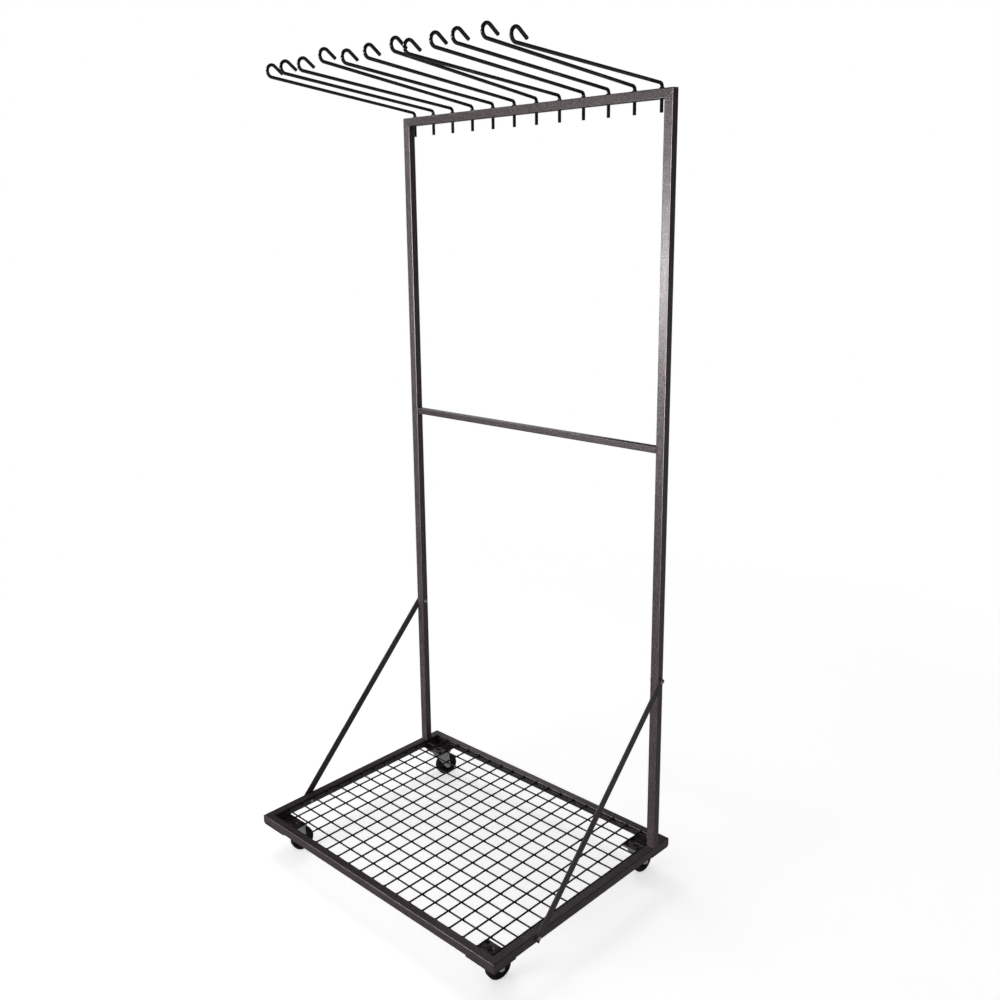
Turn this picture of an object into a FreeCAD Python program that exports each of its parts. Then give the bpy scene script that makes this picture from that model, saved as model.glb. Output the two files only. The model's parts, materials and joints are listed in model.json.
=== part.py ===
import FreeCAD, Part
import math
import os
import Sketcher
from FreeCAD import Placement, Rotation, Vector

# Mobile display rack: a square-tube goal-post frame on a wheeled wire-mesh base, with twelve
# hooked rod arms that swing on vertical pins through the top bar.
# Frame: +Z up, +X to the right, +Y to the back; origin on the floor under the middle of the base.
# Lengths are in millimetres and angles in degrees.

CORNERS = ("front_left", "front_right", "back_left", "back_right")
ARM_COUNT = 12

# Rest swing of each arm from straight ahead, left to right; positive leans to the right.
ARM_SWING = (1.4, -0.6, -1.1, -0.2, 0.6, 1.0, 2.5, -1.0, -0.3, -1.5, -0.5, -0.2)
# Height of each hook above or below the common height: the rods are bent by hand.
ARM_LIFT = (0, 3, 2, 14, 0, 3, 7, -4, 1, 1, 0, -19)
# Direction in which each wheel trails its kingpin, anticlockwise from +X.
TRAIL_ANGLE = {"front_left": 82, "front_right": 79, "back_left": 72, "back_right": 86}

DIMENSIONS = {
    # square tube used for the base, the posts and the top bar
    "tube_side": 25.4,
    "tube_wall": 1.5,
    "tube_corner": 2.4,
    # base frame and wire deck
    "base_width": 972.0,
    "base_depth": 768.8,
    "base_top": 123.4,
    "mesh_pitch": 50.8,
    "mesh_inset": 28.8,
    "wire_dia": 5.0,
    "wire_drop": 3.0,
    # upright frame
    "post_back": 319.3,
    "post_split": 1000.0,
    "frame_rise": 2108.0,
    "spigot_side": 22.4,
    "spigot_rise": 60.0,
    "sleeve_length": 200.0,
    "mid_side": 19.0,
    "mid_rise": 1187.0,
    # diagonal braces
    "brace_width": 24.0,
    "brace_thick": 3.0,
    "brace_corner": 2.0,
    "brace_end": 12.0,
    "brace_foot": -214.4,
    "brace_rise": 520.0,
    # swing arms, measured from the top of the bar
    "pin_pitch": 81.0,
    "pin_hole_dia": 9.1,
    "pin_below": 32.0,
    "rod_dia": 9.0,
    "rod_edge": 1.2,
    "pin_shoulder": 4.0,
    "pin_bend": 10.0,
    "arm_reach": 548.0,
    "arm_rise": 87.5,
    "hook_bend": 16.0,
    "hook_back": 36.0,
    "tip_length": 32.0,
    "bead_dia": 12.4,
    "bead_base": 1.05,
    "bead_thick": 2.0,
    "washer_dia": 16.0,
    "washer_thick": 1.0,
    # M6 fasteners
    "bolt_dia": 6.0,
    "bolt_hole_dia": 6.6,
    "hex_radius": 5.77,
    "head_thick": 4.0,
    "nut_thick": 5.0,
    "bolt_spare": 2.5,
    # corner plates and caster top plates
    "plate_width": 101.0,
    "plate_depth": 87.0,
    "plate_thick": 3.0,
    "plate_corner": 5.0,
    "kingpin_x": 71.5,
    "kingpin_y": 62.5,
    "rivet_window_dia": 22.0,
    "top_plate_width": 70.0,
    "top_plate_depth": 56.0,
    "top_plate_thick": 2.5,
    "bolt_half_x": 22.0,
    "bolt_half_y": 17.0,
    # caster
    "race_dia": 42.0,
    "race_thick": 4.5,
    "bearing_dia": 36.0,
    "bearing_thick": 3.4,
    "bearing_gap": 0.3,
    "kingpin_dia": 11.9,
    "kingpin_bore": 12.0,
    "kingpin_head_dia": 18.0,
    "kingpin_head": 2.0,
    "kingpin_gap": 0.2,
    "crown_thick": 2.5,
    "leg_thick": 2.5,
    "leg_lead": 20.0,
    "leg_heel": 30.0,
    "leg_end_radius": 10.0,
    "wheel_gap": 0.6,
    "trail": 26.0,
    "wheel_dia": 75.0,
    "tyre_width": 22.0,
    "tyre_shoulder": 5.0,
    "tyre_bed_dia": 52.0,
    "hub_width": 18.0,
    "boss_dia": 20.0,
    "boss_width": 26.0,
    "axle_dia": 8.0,
    "axle_bore": 8.12,
    "axle_hex_radius": 7.5,
    "axle_head_thick": 5.3,
    "axle_nut_thick": 6.5,
}

doc = FreeCAD.newDocument("display_rack")
sheet = doc.addObject("Spreadsheet::Sheet", "Dims")
for row, (alias, value) in enumerate(DIMENSIONS.items(), start=1):
    sheet.set("A%d" % row, alias)
    sheet.set("B%d" % row, str(value))
    sheet.setAlias("B%d" % row, alias)
doc.recompute()

sub_parts = []
X_AXIS = Vector(1, 0, 0)
Y_AXIS = Vector(0, 1, 0)
Z_AXIS = Vector(0, 0, 1)


def size(alias):
    """Value of one cell of the sheet."""
    return float(sheet.get(alias))


def keep(feature, label, placement=None):
    """Name a finished sub-part and put it in its place."""
    feature.Label = label
    if placement is not None:
        feature.Placement = placement
    sub_parts.append(feature)
    return feature


def orient(x_to, y_to):
    """Rotation that turns local +X to x_to and local +Y to y_to."""
    return Rotation(x_to, y_to, x_to.cross(y_to), "XYZ")


# ---- helpers for bodies and sketches ------------------------------------------------------

def new_body(name):
    return doc.addObject("PartDesign::Body", name)


def add_sketch(body, role, lift=None):
    """Sketch on one of the body's own origin planes, raised along its normal by an expression."""
    plane = next(item for item in body.Origin.OriginFeatures if item.Role == role)
    sketch = body.newObject("Sketcher::SketchObject", body.Name + "_sketch")
    sketch.AttachmentSupport = [(plane, "")]
    sketch.MapMode = "FlatFace"
    if lift is not None:
        sketch.setExpression(".AttachmentOffset.Base.z", lift)
    return sketch


def bind(sketch, kind, references, value, expression):
    """Add a dimension whose value follows the sheet."""
    index = sketch.addConstraint(Sketcher.Constraint(kind, *references, value))
    name = "size_%d" % index
    sketch.renameConstraint(index, name)
    sketch.setExpression("Constraints." + name, expression)


def add_rounded_box(sketch, width, depth, radius, width_cell, depth_cell, radius_cell):
    """Rectangle with round corners, centred on the sketch's origin."""
    base = sketch.GeometryCount
    right = width / 2
    top = depth / 2
    near_x = right - radius
    near_y = top - radius
    lines = (
        ((-near_x, -top), (near_x, -top)),
        ((right, -near_y), (right, near_y)),
        ((near_x, top), (-near_x, top)),
        ((-right, near_y), (-right, -near_y)),
    )
    centres = ((near_x, -near_y), (near_x, near_y), (-near_x, near_y), (-near_x, -near_y))
    for side, (line, centre) in enumerate(zip(lines, centres)):
        start, end = line
        sketch.addGeometry(Part.LineSegment(Vector(*start, 0), Vector(*end, 0)))
        circle = Part.Circle(Vector(*centre, 0), Z_AXIS, radius)
        first = math.radians(90 * side - 90)
        sketch.addGeometry(Part.ArcOfCircle(circle, first, first + math.pi / 2))
    for piece in range(8):
        following = base + (piece + 1) % 8
        sketch.addConstraint(Sketcher.Constraint("Tangent", base + piece, 2, following, 1))
    for line, kind in ((0, "Horizontal"), (4, "Horizontal"), (2, "Vertical"), (6, "Vertical")):
        sketch.addConstraint(Sketcher.Constraint(kind, base + line))
    for arc in (3, 5, 7):
        sketch.addConstraint(Sketcher.Constraint("Equal", base + 1, base + arc))
    sketch.addConstraint(Sketcher.Constraint("Symmetric", base + 1, 3, base + 5, 3, -1, 1))
    bind(sketch, "DistanceX", (base + 6, 1, base + 2, 1), width, width_cell)
    bind(sketch, "DistanceY", (base, 1, base + 4, 1), depth, depth_cell)
    bind(sketch, "Radius", (base + 1,), radius, radius_cell)


def add_circle(sketch, x, y, diameter, x_cell, y_cell, diameter_cell):
    """Circle whose centre and diameter follow the sheet; a cell of None keeps it on that axis."""
    index = sketch.addGeometry(Part.Circle(Vector(x, y, 0), Z_AXIS, diameter / 2))
    for kind, cell, value in (("DistanceX", x_cell, x), ("DistanceY", y_cell, y)):
        if cell is not None:
            bind(sketch, kind, (index, 3), value, cell)
    if x_cell is None and y_cell is None:
        sketch.addConstraint(Sketcher.Constraint("Coincident", index, 3, -1, 1))
    elif x_cell is None:
        sketch.addConstraint(Sketcher.Constraint("PointOnObject", index, 3, -2))
    elif y_cell is None:
        sketch.addConstraint(Sketcher.Constraint("PointOnObject", index, 3, -1))
    bind(sketch, "Diameter", (index,), diameter, diameter_cell)


def add_polygon(sketch, points):
    """Closed chain of lines through points given as (x, y, x expression, y expression)."""
    base = sketch.GeometryCount
    count = len(points)
    for number, point in enumerate(points):
        after = points[(number + 1) % count]
        sketch.addGeometry(Part.LineSegment(Vector(*point[:2], 0), Vector(*after[:2], 0)))
    for number in range(count):
        following = base + (number + 1) % count
        sketch.addConstraint(Sketcher.Constraint("Coincident", base + number, 2, following, 1))
    for number, (x, y, x_cell, y_cell) in enumerate(points):
        bind(sketch, "DistanceX", (base + number, 1), x, x_cell)
        bind(sketch, "DistanceY", (base + number, 1), y, y_cell)


def add_pad(body, sketch, length_cell, symmetric=False):
    feature = body.newObject("PartDesign::Pad", body.Name + "_pad")
    feature.Profile = sketch
    feature.SideType = "Symmetric" if symmetric else "One side"
    feature.setExpression("Length", length_cell)
    doc.recompute()
    return feature


def add_cut_through(body, sketch):
    """Pocket that runs through the whole body in both directions."""
    before = body.Shape.Volume
    feature = body.newObject("PartDesign::Pocket", body.Name + "_cut")
    feature.Profile = sketch
    feature.Type = "ThroughAll"
    feature.SideType = "Symmetric"
    doc.recompute()
    if body.Shape.Volume >= before:
        raise RuntimeError("the cut in %s removed nothing" % body.Name)
    return feature


def add_revolution(body, sketch, axis_name):
    feature = body.newObject("PartDesign::Revolution", body.Name + "_turned")
    feature.Profile = sketch
    feature.ReferenceAxis = (sketch, [axis_name])
    feature.Angle = 360
    doc.recompute()
    return feature


def round_edges(body, chosen, radius_cell):
    """Fillet the body's edges that pass the test."""
    base = body.Tip
    numbers = [n for n, edge in enumerate(base.Shape.Edges, start=1) if chosen(edge)]
    fillet = body.newObject("PartDesign::Fillet", body.Name + "_rounded")
    fillet.Base = (base, ["Edge%d" % number for number in numbers])
    fillet.setExpression("Radius", radius_cell)
    body.Tip = fillet
    doc.recompute()
    return fillet


# ---- square tubes -------------------------------------------------------------------------

def tube_blank(name, length_cell, side_cell="Dims.tube_side"):
    """Hollow square tube along local X, centred on the origin."""
    body = new_body(name)
    sketch = add_sketch(body, "YZ_Plane")
    side = size(side_cell.replace("Dims.", ""))
    wall = size("tube_wall")
    corner = size("tube_corner")
    add_rounded_box(sketch, side, side, corner, side_cell, side_cell, "Dims.tube_corner")
    inner_cell = side_cell + " - 2 * Dims.tube_wall"
    inner_corner_cell = "Dims.tube_corner - Dims.tube_wall"
    inner = side - 2 * wall
    add_rounded_box(sketch, inner, inner, corner - wall, inner_cell, inner_cell, inner_corner_cell)
    add_pad(body, sketch, length_cell, symmetric=True)
    return body


def mitre_end(body, length_cell, both_ends):
    """Cut the +X end at 45 degrees, longest along the -Y side, and mirror the cut if asked."""
    half_length = body.Shape.BoundBox.XLength / 2
    half_side = size("tube_side") / 2
    spare = 2.0
    tip = half_length + spare
    low = "-(Dims.tube_side / 2 + %g)" % spare
    high = "Dims.tube_side / 2 + %g" % spare
    end = length_cell + " / 2"
    sketch = add_sketch(body, "XY_Plane")
    add_polygon(sketch, (
        (tip, -half_side - spare, "%s + %g" % (end, spare), low),
        (tip, half_side + spare, "%s + %g" % (end, spare), high),
        (tip - 2 * half_side - 2 * spare, half_side + spare,
         "%s - Dims.tube_side - %g" % (end, spare), high),
    ))
    cut = add_cut_through(body, sketch)
    if both_ends:
        mirror = body.newObject("PartDesign::Mirrored", body.Name + "_mirror")
        mirror.Originals = [cut]
        plane = next(item for item in body.Origin.OriginFeatures if item.Role == "YZ_Plane")
        mirror.MirrorPlane = (plane, [""])
        body.Tip = mirror
        doc.recompute()


def drill_tube(body, along, along_cell):
    """Bolt hole through the tube from its -Y side to its +Y side."""
    sketch = add_sketch(body, "XZ_Plane")
    hole = size("bolt_hole_dia")
    add_circle(sketch, along, 0, hole, along_cell, None, "Dims.bolt_hole_dia")
    add_cut_through(body, sketch)


def make_base_rails():
    """Four mitred rails: the outer side of each is its local -Y side."""
    width = size("base_width")
    depth = size("base_depth")
    side = size("tube_side")
    level = size("base_top") - side / 2
    for label, length_cell, turn, x, y in (
        ("front_rail", "Dims.base_width", 0, 0, side / 2 - depth / 2),
        ("back_rail", "Dims.base_width", 180, 0, depth / 2 - side / 2),
        ("left_rail", "Dims.base_depth", -90, side / 2 - width / 2, 0),
        ("right_rail", "Dims.base_depth", 90, width / 2 - side / 2, 0),
    ):
        body = tube_blank(label, length_cell)
        mitre_end(body, length_cell, both_ends=True)
        if label == "left_rail":
            drill_tube(body, -size("brace_foot"), "-Dims.brace_foot")
        if label == "right_rail":
            drill_tube(body, size("brace_foot"), "Dims.brace_foot")
        keep(body, label, Placement(Vector(x, y, level), Rotation(Z_AXIS, turn)))


def make_posts():
    """Lower and upper posts, with the spigots and sleeves that hold them inside."""
    offset = size("base_width") / 2 - size("tube_side") / 2
    back = size("post_back")
    foot = size("base_top")
    split = size("post_split")
    rise = size("frame_rise")
    spigot = size("spigot_rise")
    for side_name, sign in (("left", -1), ("right", 1)):
        # Local -Y faces outwards and local +X points up.
        upright = orient(Z_AXIS, X_AXIS * -sign)
        x = sign * offset

        lower = tube_blank(side_name + "_lower_post", "Dims.post_split")
        hole = size("brace_rise") - split / 2
        drill_tube(lower, hole, "Dims.brace_rise - Dims.post_split / 2")
        keep(lower, lower.Name, Placement(Vector(x, back, foot + split / 2), upright))

        length_cell = "(Dims.frame_rise - Dims.post_split)"
        upper = tube_blank(side_name + "_upper_post", length_cell)
        mitre_end(upper, length_cell, both_ends=False)
        keep(upper, upper.Name, Placement(Vector(x, back, foot + (split + rise) / 2), upright))

        peg = tube_blank(side_name + "_foot_spigot", "Dims.spigot_rise", "Dims.spigot_side")
        keep(peg, peg.Name, Placement(Vector(x, back, foot + spigot / 2), upright))

        sleeve = tube_blank(side_name + "_splice_sleeve", "Dims.sleeve_length", "Dims.spigot_side")
        keep(sleeve, sleeve.Name, Placement(Vector(x, back, foot + split), upright))


def make_top_bar():
    """Mitred bar with a row of pin holes; its outer side faces up."""
    body = tube_blank("top_bar", "Dims.base_width")
    mitre_end(body, "Dims.base_width", both_ends=True)
    sketch = add_sketch(body, "XZ_Plane")
    first = -size("pin_pitch") * (ARM_COUNT - 1) / 2
    first_cell = "-Dims.pin_pitch * %g" % ((ARM_COUNT - 1) / 2)
    add_circle(sketch, first, 0, size("pin_hole_dia"), first_cell, None, "Dims.pin_hole_dia")
    drilled = add_cut_through(body, sketch)
    before = body.Shape.Volume
    row = body.newObject("PartDesign::LinearPattern", "pin_hole_row")
    row.Originals = [drilled]
    row.Direction = (sketch, ["H_Axis"])
    row.setExpression("Length", "Dims.pin_pitch * %d" % (ARM_COUNT - 1))
    row.Occurrences = ARM_COUNT
    body.Tip = row
    doc.recompute()
    if body.Shape.Volume >= before:
        raise RuntimeError("the row of pin holes removed nothing")
    level = size("base_top") + size("frame_rise") - size("tube_side") / 2
    place = Placement(Vector(0, size("post_back"), level), orient(X_AXIS, Z_AXIS * -1))
    keep(body, "top_bar", place)


def make_mid_bar():
    body = tube_blank("mid_bar", "Dims.base_width - 2 * Dims.tube_side", "Dims.mid_side")
    level = size("base_top") + size("mid_rise")
    keep(body, "mid_bar", Placement(Vector(0, size("post_back"), level), Rotation()))


# ---- wire deck ----------------------------------------------------------------------------

def make_wires(label, count, length_cell, along, across, level):
    """Parallel round wires in one group; along is their direction and across their spacing."""
    wires = []
    start = -(count - 1) / 2
    for number in range(count):
        wire = doc.addObject("Part::Cylinder", "%s_%d" % (label, number + 1))
        wire.setExpression("Radius", "Dims.wire_dia / 2")
        wire.setExpression("Height", length_cell)
        doc.recompute()
        centre = across * ((start + number) * size("mesh_pitch")) + Z_AXIS * level
        end = centre - along * (wire.Height.Value / 2)
        wire.Placement = Placement(end, Rotation(Z_AXIS, along))
        wires.append(wire)
    group = doc.addObject("Part::Compound", label)
    group.Links = wires
    keep(group, label)


def make_deck():
    """Cross wires run front to back, on top of the long wires, and end at the rails."""
    level = size("base_top") - size("wire_drop")
    pitch = size("mesh_pitch")
    inset = size("mesh_inset")
    columns = round((size("base_width") - 2 * inset) / pitch) + 1
    rows = round((size("base_depth") - 2 * inset) / pitch) + 1
    inside = "Dims.%s - 2 * Dims.tube_side"
    make_wires("deck_cross_wires", columns, inside % "base_depth", Y_AXIS, X_AXIS, level)
    lower = level - size("wire_dia")
    make_wires("deck_long_wires", rows, inside % "base_width", X_AXIS, Y_AXIS, lower)


# ---- swing arms ---------------------------------------------------------------------------

def arm_points(rise):
    """Centre line of an arm as (outward, up) points and its two bend centres.

    The rod leaves the pin through a bend, runs straight to the hook and curls back over itself.
    """
    shoulder = size("pin_shoulder")
    pin_bend = size("pin_bend")
    hook_bend = size("hook_bend")
    pin_foot = -(size("tube_side") + size("pin_below"))
    run = size("arm_reach") - pin_bend
    climb = rise - shoulder
    straight = math.sqrt(run * run + climb * climb - pin_bend * pin_bend)
    slope = math.atan2(climb, run) - math.atan2(pin_bend, straight)
    ahead = Vector(math.cos(slope), math.sin(slope), 0)
    above = Vector(-math.sin(slope), math.cos(slope), 0)
    foot = Vector(0, pin_foot, 0)
    bend_start = Vector(0, shoulder, 0)
    bend_centre = Vector(pin_bend, shoulder, 0)
    bend_end = bend_centre + above * pin_bend
    hook_start = bend_end + ahead * straight
    hook_centre = hook_start + above * hook_bend
    back = math.pi + math.radians(size("hook_back"))
    hook_end = hook_centre + Vector(math.sin(back), -math.cos(back), 0) * hook_bend
    tip = hook_end + Vector(math.cos(back), math.sin(back), 0) * size("tip_length")
    points = (foot, bend_start, bend_end, hook_start, hook_end, tip)
    return points, bend_centre, hook_centre


def arc_between(centre, start, end):
    """Anticlockwise arc about centre from start to end."""
    first = start - centre
    last = end - centre
    circle = Part.Circle(centre, Z_AXIS, first.Length)
    return Part.ArcOfCircle(circle, math.atan2(first.y, first.x), math.atan2(last.y, last.x))


def add_arm_path(body, number):
    """Open path of line, bend, line, hook and line, each tangent to the next."""
    rise = size("arm_rise") + ARM_LIFT[number]
    points, bend_centre, hook_centre = arm_points(rise)
    foot, bend_start, bend_end, hook_start, hook_end, tip = points
    sketch = add_sketch(body, "XZ_Plane")
    pin = sketch.addGeometry(Part.LineSegment(foot, bend_start))
    bend = sketch.addGeometry(arc_between(bend_centre, bend_end, bend_start))
    beam = sketch.addGeometry(Part.LineSegment(bend_end, hook_start))
    hook = sketch.addGeometry(arc_between(hook_centre, hook_start, hook_end))
    nose = sketch.addGeometry(Part.LineSegment(hook_end, tip))
    sketch.addConstraint(Sketcher.Constraint("Tangent", pin, 2, bend, 2))
    sketch.addConstraint(Sketcher.Constraint("Tangent", bend, 1, beam, 1))
    sketch.addConstraint(Sketcher.Constraint("Tangent", beam, 2, hook, 1))
    sketch.addConstraint(Sketcher.Constraint("Tangent", hook, 2, nose, 1))
    sketch.addConstraint(Sketcher.Constraint("PointOnObject", pin, 1, -2))
    sketch.addConstraint(Sketcher.Constraint("Vertical", pin))
    bind(sketch, "DistanceY", (pin, 1), foot.y, "-(Dims.tube_side + Dims.pin_below)")
    bind(sketch, "DistanceY", (pin, 2), bend_start.y, "Dims.pin_shoulder")
    bind(sketch, "Radius", (bend,), size("pin_bend"), "Dims.pin_bend")
    bind(sketch, "DistanceX", (beam, 2), hook_start.x, "Dims.arm_reach")
    bind(sketch, "DistanceY", (beam, 2), hook_start.y, "Dims.arm_rise + %g" % ARM_LIFT[number])
    bind(sketch, "Radius", (hook,), size("hook_bend"), "Dims.hook_bend")
    bind(sketch, "Distance", (nose,), size("tip_length"), "Dims.tip_length")
    angle = math.radians(size("hook_back") - 180)
    bind(sketch, "Angle", (nose,), angle, "Dims.hook_back * 1 deg - 180 deg")
    return sketch


def is_end_edge(edge, ends):
    return any(edge.CenterOfMass.distanceToPoint(end) < 0.5 for end in ends)


def make_arm(number):
    """Bent rod arm; local +X points along the arm and the pin is on local Z."""
    label = "arm_%02d" % (number + 1)
    body = new_body(label)
    path = add_arm_path(body, number)
    rod = size("rod_dia")
    pin_foot = "-(Dims.tube_side + Dims.pin_below)"
    profile = add_sketch(body, "XY_Plane", lift=pin_foot)
    add_circle(profile, 0, 0, rod, None, None, "Dims.rod_dia")
    pipe = body.newObject("PartDesign::AdditivePipe", label + "_rod")
    pipe.Profile = profile
    pipe.Spine = path
    body.Tip = pipe
    doc.recompute()

    points = arm_points(size("arm_rise") + ARM_LIFT[number])[0]
    ends = [Vector(point.x, 0, point.y) for point in (points[0], points[-1])]
    round_edges(body, lambda edge: is_end_edge(edge, ends), "Dims.rod_edge")

    bead = add_sketch(body, "XY_Plane", lift="Dims.bead_base")
    add_circle(bead, 0, 0, size("bead_dia"), None, None, "Dims.bead_dia")
    add_pad(body, bead, "Dims.bead_thick")

    x = (number - (ARM_COUNT - 1) / 2) * size("pin_pitch")
    level = size("base_top") + size("frame_rise")
    turn = Rotation(Z_AXIS, ARM_SWING[number] - 90)
    keep(body, label, Placement(Vector(x, size("post_back"), level), turn))


def make_pin_washers():
    """Thin washers on the top bar, one under the bead of each arm."""
    washers = []
    level = size("base_top") + size("frame_rise")
    for number in range(ARM_COUNT):
        disc = doc.addObject("Part::Cylinder", "washer_disc_%d" % (number + 1))
        disc.setExpression("Radius", "Dims.washer_dia / 2")
        disc.setExpression("Height", "Dims.washer_thick")
        bore = doc.addObject("Part::Cylinder", "washer_bore_%d" % (number + 1))
        bore.setExpression("Radius", "Dims.pin_hole_dia / 2")
        bore.setExpression("Height", "Dims.washer_thick")
        washer = doc.addObject("Part::Cut", "washer_%d" % (number + 1))
        washer.Base = disc
        washer.Tool = bore
        x = (number - (ARM_COUNT - 1) / 2) * size("pin_pitch")
        washer.Placement = Placement(Vector(x, size("post_back"), level), Rotation())
        washers.append(washer)
    group = doc.addObject("Part::Compound", "pin_washers")
    group.Links = washers
    keep(group, "pin_washers")


# ---- braces and fasteners -----------------------------------------------------------------

def brace_run():
    """Vector from a brace's lower bolt to its upper bolt."""
    back = size("post_back") - size("brace_foot")
    return Vector(0, back, size("brace_rise") + size("tube_side") / 2)


def make_braces():
    """Flat bars from the side rails up to the posts, on the outside of the frame."""
    run = brace_run()
    length_cell = (
        "sqrt((Dims.post_back - Dims.brace_foot) ^ 2 + (Dims.brace_rise + Dims.tube_side / 2) ^ 2)"
    )
    offset = size("base_width") / 2 + size("brace_thick") / 2
    middle = Vector(0, size("brace_foot"), size("base_top") - size("tube_side") / 2) + run * 0.5
    for side_name, sign in (("left", -1), ("right", 1)):
        body = new_body(side_name + "_brace")
        outline = add_sketch(body, "XZ_Plane")
        add_rounded_box(
            outline, run.Length + 2 * size("brace_end"), size("brace_width"), size("brace_corner"),
            length_cell + " + 2 * Dims.brace_end", "Dims.brace_width", "Dims.brace_corner",
        )
        hole = size("bolt_hole_dia")
        half = run.Length / 2
        for end in (-1, 1):
            cell = "%d * %s / 2" % (end, length_cell)
            add_circle(outline, end * half, 0, hole, cell, None, "Dims.bolt_hole_dia")
        add_pad(body, outline, "Dims.brace_thick", symmetric=True)
        direction = Vector(run).normalize()
        place = Placement(middle + X_AXIS * (sign * offset), orient(direction, X_AXIS))
        keep(body, body.Name, place)


def hex_bolt(name, grip_cell):
    """Hex bolt along +Z with the underside of its head at the origin and its shank below."""
    head = doc.addObject("Part::Prism", name + "_head")
    head.Polygon = 6
    head.setExpression("Circumradius", "Dims.hex_radius")
    head.setExpression("Height", "Dims.head_thick")
    shank = doc.addObject("Part::Cylinder", name + "_shank")
    shank.setExpression("Radius", "Dims.bolt_dia / 2")
    shank.setExpression("Height", grip_cell)
    shank.setExpression(".Placement.Base.z", "-(%s)" % grip_cell)
    bolt = doc.addObject("Part::Fuse", name)
    bolt.Base = head
    bolt.Tool = shank
    doc.recompute()
    return bolt


def hex_nut(name, radius_cell, bore_cell, thick_cell):
    """Hex nut along +Z with its lower face at the origin."""
    block = doc.addObject("Part::Prism", name + "_block")
    block.Polygon = 6
    block.setExpression("Circumradius", radius_cell)
    block.setExpression("Height", thick_cell)
    bore = doc.addObject("Part::Cylinder", name + "_bore")
    bore.setExpression("Radius", bore_cell + " / 2")
    bore.setExpression("Height", thick_cell)
    nut = doc.addObject("Part::Cut", name)
    nut.Base = block
    nut.Tool = bore
    doc.recompute()
    return nut


def keep_copies(label, master, placements):
    """Group of placed copies of one master shape, each its own solid."""
    solids = []
    for placement in placements:
        solid = master.Shape.copy()
        solid.Placement = placement
        solids.append(solid)
    group = doc.addObject("Part::Feature", label)
    group.Shape = Part.makeCompound(solids)
    keep(group, label)


def make_brace_fasteners():
    """Bolt heads sit on the braces and the nuts on the inner sides of the tubes."""
    thick = size("brace_thick")
    side = size("tube_side")
    grip_cell = "Dims.brace_thick + Dims.tube_side + Dims.nut_thick + Dims.bolt_spare"
    bolt = hex_bolt("brace_bolt", grip_cell)
    nut = hex_nut("brace_nut", "Dims.hex_radius", "Dims.bolt_dia", "Dims.nut_thick")
    foot = Vector(0, size("brace_foot"), size("base_top") - side / 2)
    bolts = []
    nuts = []
    for sign in (-1, 1):
        outward = Rotation(Z_AXIS, X_AXIS * sign)
        inward = Rotation(Z_AXIS, X_AXIS * -sign)
        outer = size("base_width") / 2
        for point in (foot, foot + brace_run()):
            bolts.append(Placement(point + X_AXIS * (sign * (outer + thick)), outward))
            nuts.append(Placement(point + X_AXIS * (sign * (outer - side)), inward))
    keep_copies("brace_bolts", bolt, bolts)
    keep_copies("brace_nuts", nut, nuts)


# ---- casters ------------------------------------------------------------------------------

def corner_signs(corner):
    """Outward X and Y signs of a corner."""
    return (1 if "right" in corner else -1), (1 if "back" in corner else -1)


def kingpin_place(corner):
    """Kingpin axis on the floor."""
    out_x, out_y = corner_signs(corner)
    x = out_x * (size("base_width") / 2 - size("kingpin_x"))
    y = out_y * (size("base_depth") / 2 - size("kingpin_y"))
    return Vector(x, y, 0)


def plate_underside():
    """Height of the underside of the corner plates."""
    return size("base_top") - size("tube_side") - size("plate_thick")


def drill_plate(body, x, y):
    """Window for the kingpin's head and four bolt holes around it, centred on x, y."""
    sketch = add_sketch(body, "XY_Plane")
    window = size("rivet_window_dia")
    add_circle(sketch, x, y, window, "%g" % x, "%g" % y, "Dims.rivet_window_dia")
    for side_x in (-1, 1):
        for side_y in (-1, 1):
            add_circle(
                sketch, x + side_x * size("bolt_half_x"), y + side_y * size("bolt_half_y"),
                size("bolt_hole_dia"), "%g + %d * Dims.bolt_half_x" % (x, side_x),
                "%g + %d * Dims.bolt_half_y" % (y, side_y), "Dims.bolt_hole_dia",
            )
    add_cut_through(body, sketch)


def make_corner_plates():
    """Plates welded under the corners of the base, flush with the rails' outer sides."""
    plates = []
    for corner in CORNERS:
        out_x, out_y = corner_signs(corner)
        body = new_body("corner_plate_" + corner)
        outline = add_sketch(body, "XY_Plane")
        add_rounded_box(
            outline, size("plate_width"), size("plate_depth"), size("plate_corner"),
            "Dims.plate_width", "Dims.plate_depth", "Dims.plate_corner",
        )
        add_pad(body, outline, "Dims.plate_thick")
        shift_x = out_x * (size("plate_width") / 2 - size("kingpin_x"))
        shift_y = out_y * (size("plate_depth") / 2 - size("kingpin_y"))
        drill_plate(body, shift_x, shift_y)
        centre = kingpin_place(corner) - Vector(shift_x, shift_y, 0)
        body.Placement = Placement(centre + Z_AXIS * plate_underside(), Rotation())
        plates.append(body)
    group = doc.addObject("Part::Compound", "corner_plates")
    group.Links = plates
    keep(group, "corner_plates")


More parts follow.
